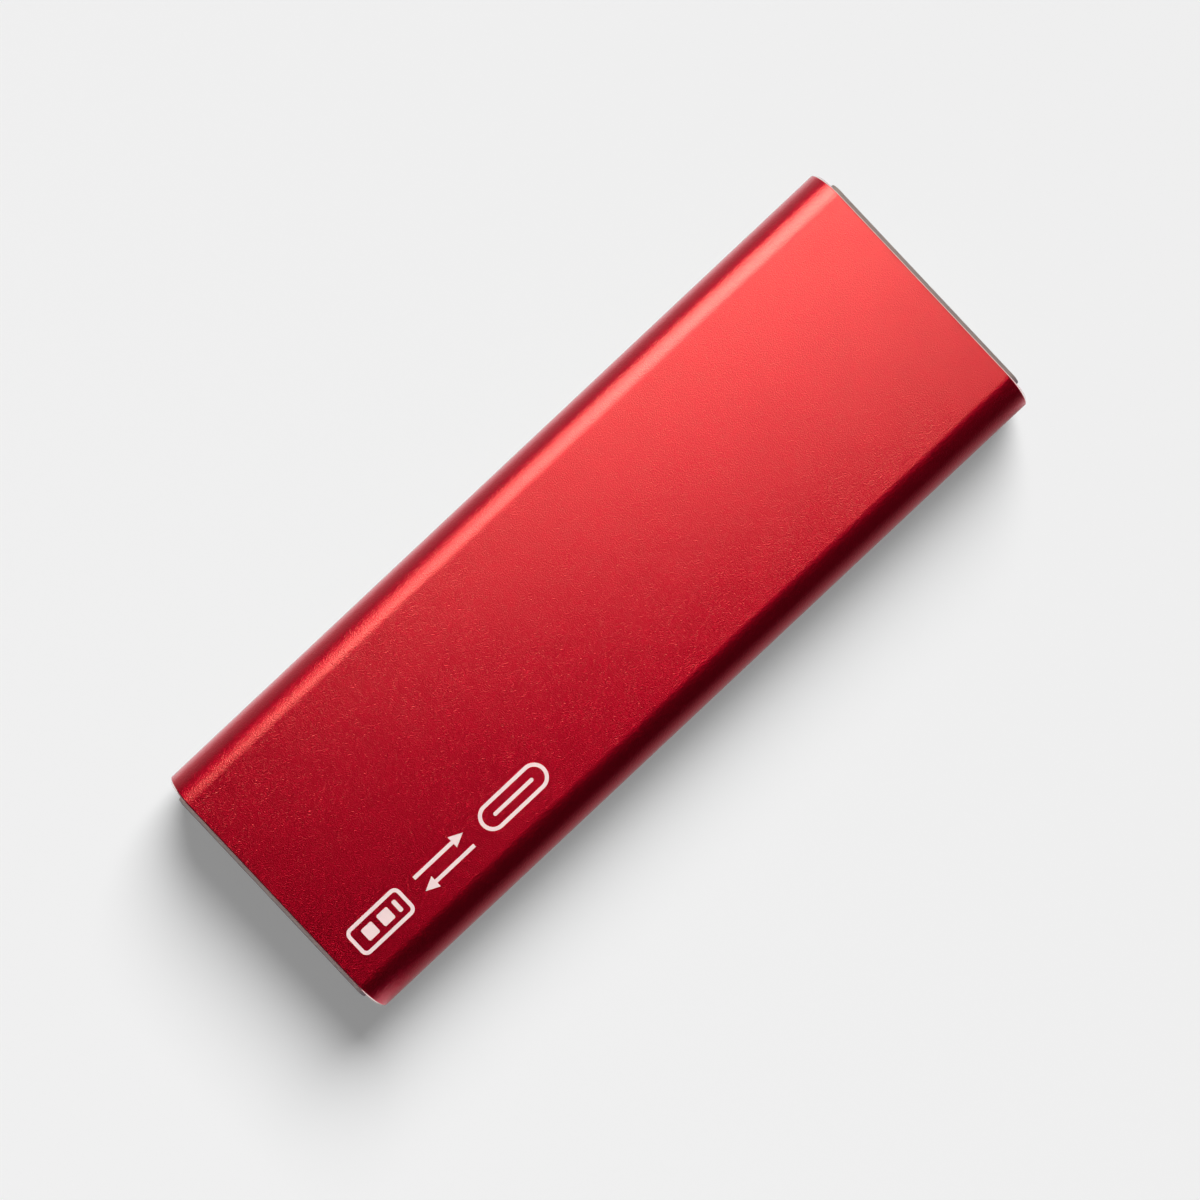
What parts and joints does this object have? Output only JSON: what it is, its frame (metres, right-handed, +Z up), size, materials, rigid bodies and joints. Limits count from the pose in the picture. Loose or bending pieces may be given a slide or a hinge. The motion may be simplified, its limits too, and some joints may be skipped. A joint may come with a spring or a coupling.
{
  "type": "portable solid state drive",
  "caption": "Slim portable solid state drive: a red anodised aluminium sleeve with rounded sides, closed at both ends by grey plug caps, one with a USB-C port.",
  "frame": {"origin": "middle of the underside", "axes": "+X along the drive, out of the USB-C port; +Y across it, to the side of the status light; +Z up"},
  "size_m": [0.0944, 0.033, 0.01],
  "materials": {
    "red_anodised": "bead-blasted, anodised deep red, bright cut rims",
    "cap_grey": "fine moulded grain",
    "port_steel": "drawn, satin nickel",
    "port_black": "smooth moulded",
    "contact_gold": "gold plated",
    "pipe_clear": "frosted clear",
    "led_white": "moulded",
    "board_green": "solder mask over copper",
    "chip_black": "moulded epoxy",
    "screw_steel": "nickel plated",
    "coil_grey": "pressed ferrite powder",
    "crystal_can": "lid on a ceramic base",
    "bulk_tan": "moulded",
    "ceramic_tan": "fired ceramic with tinned ends",
    "resistor_black": "glazed, tinned ends",
    "pad_blue": "soft silicone"
  },
  "bodies": {
    "root": {"sleeve": "red_anodised", "port_end_cap": "cap_grey", "rear_end_cap": "cap_grey", "usb_c_shell": "port_steel", "usb_c_tongue": "port_black", "usb_c_latch_plate": "port_steel", "usb_c_contacts": "contact_gold", "light_pipe": "pipe_clear", "status_led": "led_white", "circuit_board": "board_green", "board_screws": "screw_steel", "controller_chip": "chip_black", "flash_chip_1": "chip_black", "flash_chip_2": "chip_black", "flash_chip_3": "chip_black", "flash_chip_4": "chip_black", "firmware_chip": "chip_black", "surge_protector": "chip_black", "power_regulator": "chip_black", "power_inductors": "coil_grey", "clock_crystal": "crystal_can", "bulk_capacitors": "bulk_tan", "ceramic_capacitors": "ceramic_tan", "chip_resistors": "resistor_black", "controller_thermal_pad": "pad_blue", "upper_flash_thermal_pad": "pad_blue", "lower_flash_thermal_pad": "pad_blue"}
  },
  "joints": []
}
